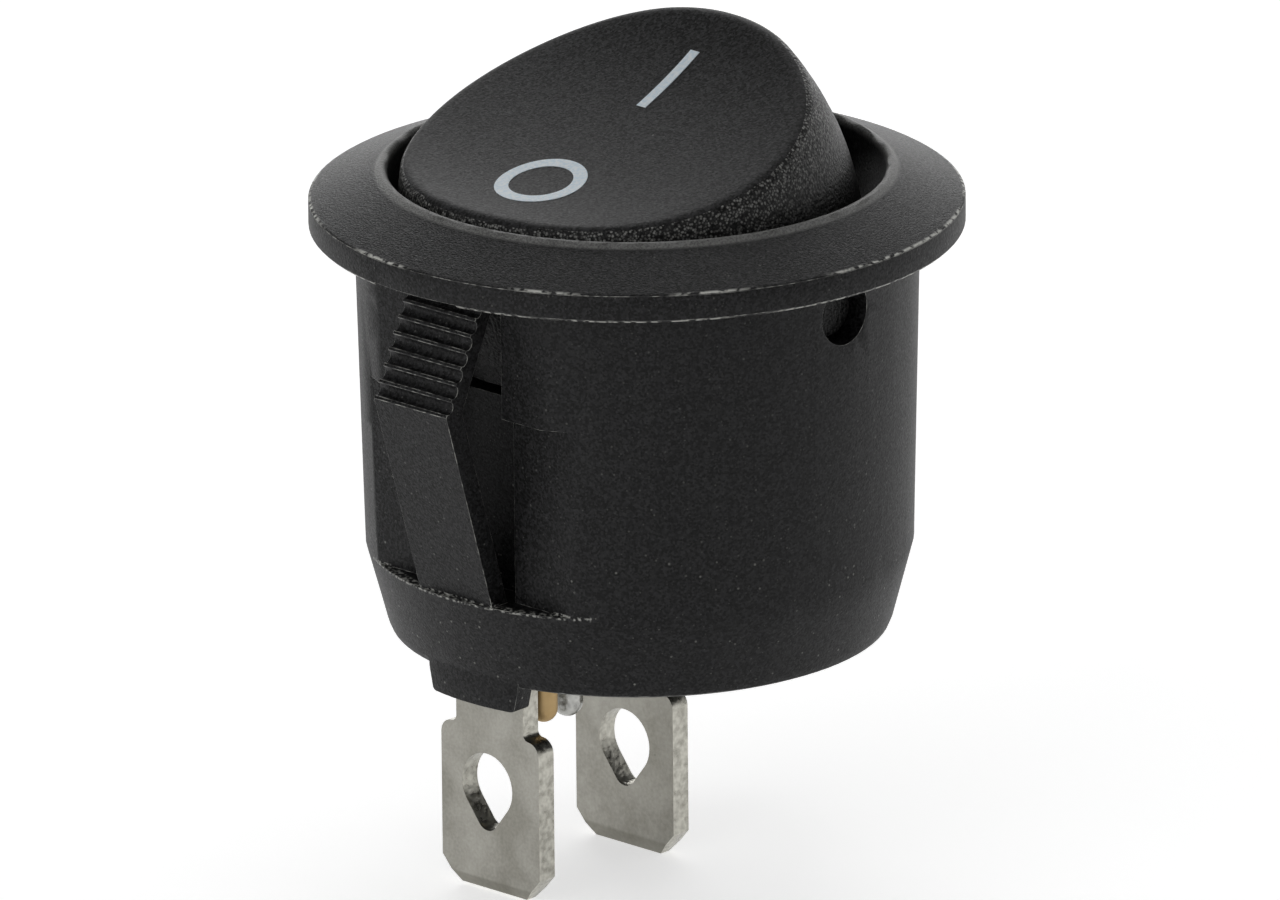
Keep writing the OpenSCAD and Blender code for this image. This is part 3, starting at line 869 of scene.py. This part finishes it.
# %% [markdown]
# ## The lamps
#
# Most light comes from soft lamps that stand low round the switch, the strongest behind it, and
# less from above. That keeps the upright sides in front dark and draws light edges.

# %% Lamps
def softbox(name, azimuth, elevation, radiance, distance=0.5, size=0.38):
    """Adds a square lamp that faces the middle of the switch; a radiance of 1 is white."""
    a, e = math.radians(azimuth), math.radians(elevation)
    away = Vector((math.sin(a) * math.cos(e), -math.cos(a) * math.cos(e), math.sin(e)))
    bpy.ops.object.light_add(type="AREA", location=away * distance)
    lamp = bpy.context.active_object
    lamp.name = name
    lamp.rotation_euler = away.to_track_quat("Z", "Y").to_euler()
    lamp.data.size = size
    lamp.data.energy = radiance * math.pi * size ** 2
    lamp.visible_camera = False


for name, azimuth, elevation, radiance in (
    ("back_softbox", 133, 18, 2.0),
    ("back_right_softbox", 88, 18, 0.45),
    ("right_softbox", 43, 18, 0.5),
    ("front_softbox", -47, 18, 0.35),
    ("front_left_softbox", -92, 18, 1.25),
    ("left_high_softbox", -137, 45, 0.3),
    ("back_high_softbox", 133, 50, 0.85),
    ("top_softbox", 133, 85, 0.5),
):
    softbox(name, azimuth, elevation, radiance)

# %% [markdown]
# ## The surround
#
# The room is dim, and a little lighter at the horizon than above. The camera itself sees it white.

# %% World
world = bpy.data.worlds.new("studio")
bpy.context.scene.world = world
world.use_nodes = True
nodes, links = world.node_tree.nodes, world.node_tree.links
direction = nodes.new("ShaderNodeTexCoord").outputs["Generated"]
split = nodes.new("ShaderNodeSeparateXYZ")
links.new(direction, split.inputs["Vector"])
fade = nodes.new("ShaderNodeMapRange")
links.new(split.outputs["Z"], fade.inputs["Value"])
for name, value in (("From Min", 0.0), ("From Max", 0.6), ("To Min", 0.12), ("To Max", 0.05)):
    fade.inputs[name].default_value = value
brightest = nodes.new("ShaderNodeMath")
brightest.operation = "MAXIMUM"
links.new(nodes.new("ShaderNodeLightPath").outputs["Is Camera Ray"], brightest.inputs[0])
links.new(fade.outputs["Result"], brightest.inputs[1])
links.new(brightest.outputs["Value"], nodes["Background"].inputs["Strength"])
nodes["Background"].inputs["Color"].default_value = (1, 1, 1, 1)

# %% [markdown]
# ## The camera
#
# The camera stands far off with a long lens, which keeps the upright edges nearly parallel. It
# goes round a target in the middle of the switch and aims a little below it.

# %% Camera
view_azimuth = math.radians(-47.03)
view_elevation = math.radians(18.15)
view_roll = math.radians(-0.51)
view_distance = 900 * mm
lens_mm = 723
aim_down = 5.26 * mm
aim_right = 0.03 * mm
target = Vector((0, 0, -2.9 * mm))
back = Vector((
    math.sin(view_azimuth) * math.cos(view_elevation),
    -math.cos(view_azimuth) * math.cos(view_elevation),
    math.sin(view_elevation),
))
right = Vector((math.cos(view_azimuth), math.sin(view_azimuth), 0))
up = back.cross(right)
aim = target - up * aim_down + right * aim_right
bpy.ops.object.camera_add(location=target + back * view_distance)
camera = bpy.context.active_object
camera.name = "camera"
look = (camera.location - aim).to_track_quat("Z", "Y")
camera.rotation_euler = (look @ Quaternion((0, 0, 1), view_roll)).to_euler()
camera.data.sensor_width = 36
camera.data.lens = lens_mm
camera.data.clip_end = 5
bpy.context.scene.camera = camera
bpy.context.scene.view_settings.view_transform = "Standard"
